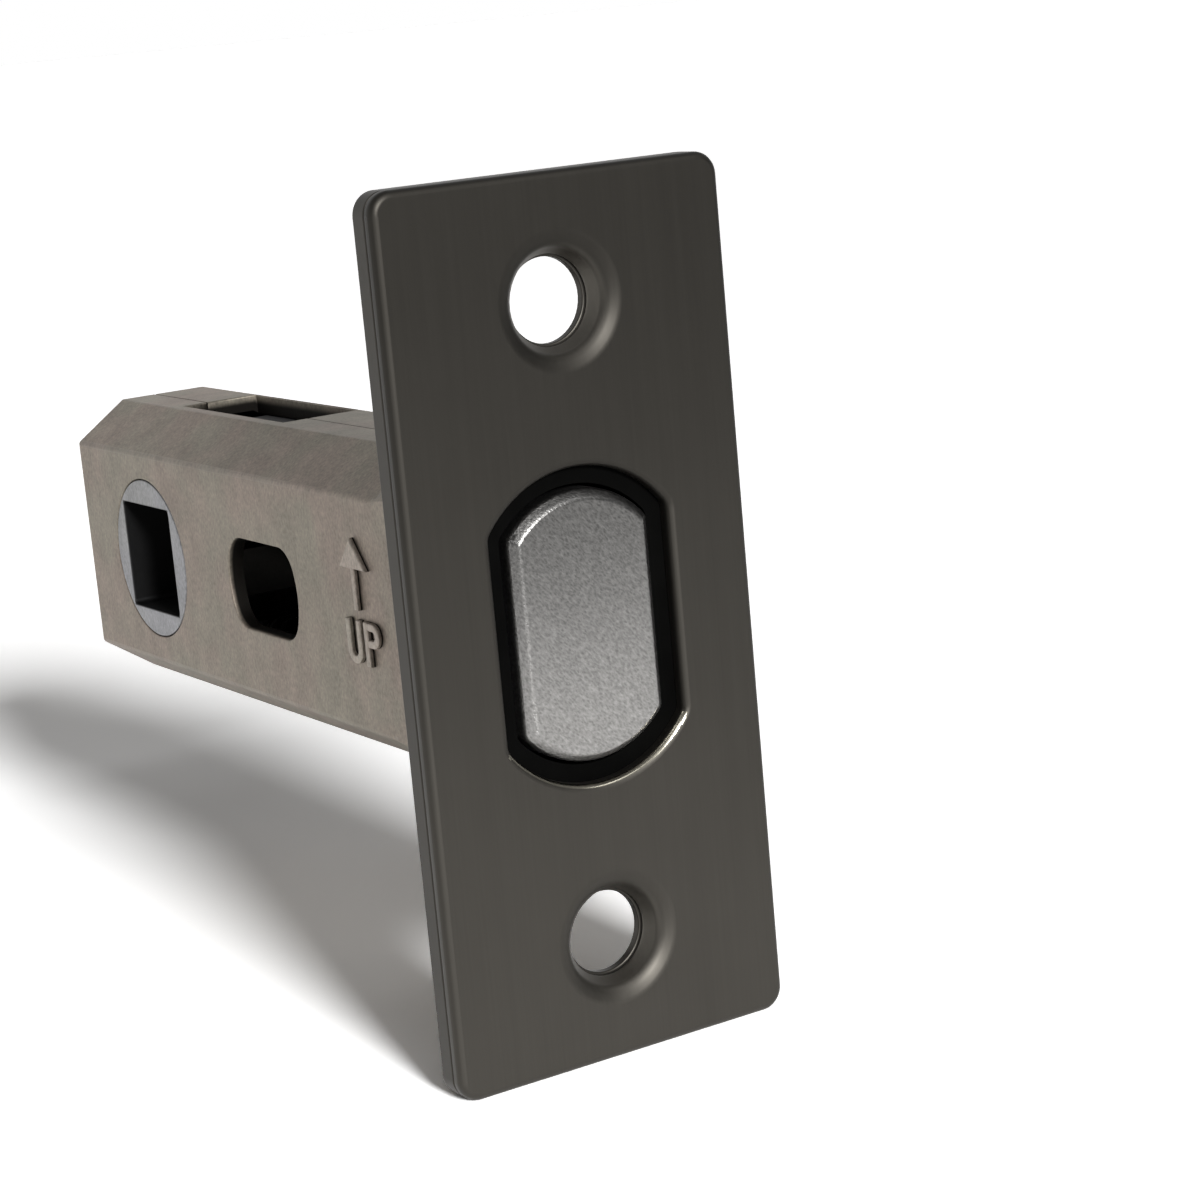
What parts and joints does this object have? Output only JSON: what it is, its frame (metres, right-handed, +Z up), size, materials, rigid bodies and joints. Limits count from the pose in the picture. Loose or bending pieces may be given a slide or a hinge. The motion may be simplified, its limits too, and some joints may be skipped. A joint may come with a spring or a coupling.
{
  "type": "tubular door latch",
  "caption": "Tubular mortice latch for a door's edge: two-layer forend, flush flat magnet-drawn bolt, cast faceted case with a square-holed hub and a rose fixing passage.",
  "frame": {"origin": "centre of the bolt's nose, in the plane of the forend's front face", "axes": "+X out of the door's edge, the way the bolt comes out; +Z up; Y across the door's thickness"},
  "size_m": [0.062, 0.025, 0.057],
  "materials": {
    "forend_graphite": "graphite-coloured plating over a fine vertical brush",
    "forend_back_steel": "dark plated steel",
    "case_casting": "matt die-cast zinc alloy, warm grey",
    "hub_casting": "matt die-cast zinc alloy, cool grey",
    "bolt_satin": "satin plated casting with a fine grain",
    "plated_steel": "zinc-plated steel",
    "spring_wire": "drawn spring wire",
    "magnet_nickel": "nickel-plated magnet",
    "guide_nylon": "black moulded nylon",
    "carriage_nylon": "black glass-filled nylon",
    "buffer_rubber": "black rubber"
  },
  "bodies": {
    "case": {"front_plate": "forend_graphite", "back_plate": "forend_back_steel", "case_near_half": "case_casting", "case_far_half": "case_casting", "bolt_guide": "guide_nylon", "return_spring_near": "spring_wire", "return_spring_far": "spring_wire"},
    "hub": {"hub": "hub_casting"},
    "carriage": {"carriage": "carriage_nylon", "spring_rod": "plated_steel", "rod_clip": "plated_steel", "bolt_buffer": "buffer_rubber", "bolt_spring": "spring_wire"},
    "bolt": {"bolt": "bolt_satin", "bolt_tail": "plated_steel", "tail_pin": "plated_steel", "bolt_magnet": "magnet_nickel", "magnet_plug": "guide_nylon"},
    "return_slide": {"return_slide": "plated_steel", "return_rod_near": "plated_steel", "return_rod_far": "plated_steel"}
  },
  "joints": [
    {"name": "hub_turn", "type": "hinge", "parent": "case", "child": "hub", "pos_m": [-0.05, 0, 0], "axis": [0, -1, 0], "range_deg": [0, 64], "stiffness_Nm_per_rad": 0.05, "springref_deg": -28.65},
    {"name": "carriage_move", "type": "slide", "parent": "case", "child": "carriage", "axis": [-1, 0, 0], "range_m": [0, 0.0085]},
    {"name": "bolt_slide", "type": "slide", "parent": "carriage", "child": "bolt", "axis": [1, 0, 0], "range_m": [0, 0.00848], "stiffness_N_per_m": 80, "springref_m": -0.005, "deforming": ["bolt_spring"]},
    {"name": "return_slide_move", "type": "slide", "parent": "case", "child": "return_slide", "axis": [1, 0, 0], "range_m": [0, 0.0085], "deforming": ["return_spring_near", "return_spring_far"]}
  ],
  "couplings": [
    {"joint": "carriage_move", "follows": "hub_turn", "m_per_rad": 0.0075905},
    {"joint": "return_slide_move", "follows": "hub_turn", "m_per_rad": 0.0075905}
  ]
}
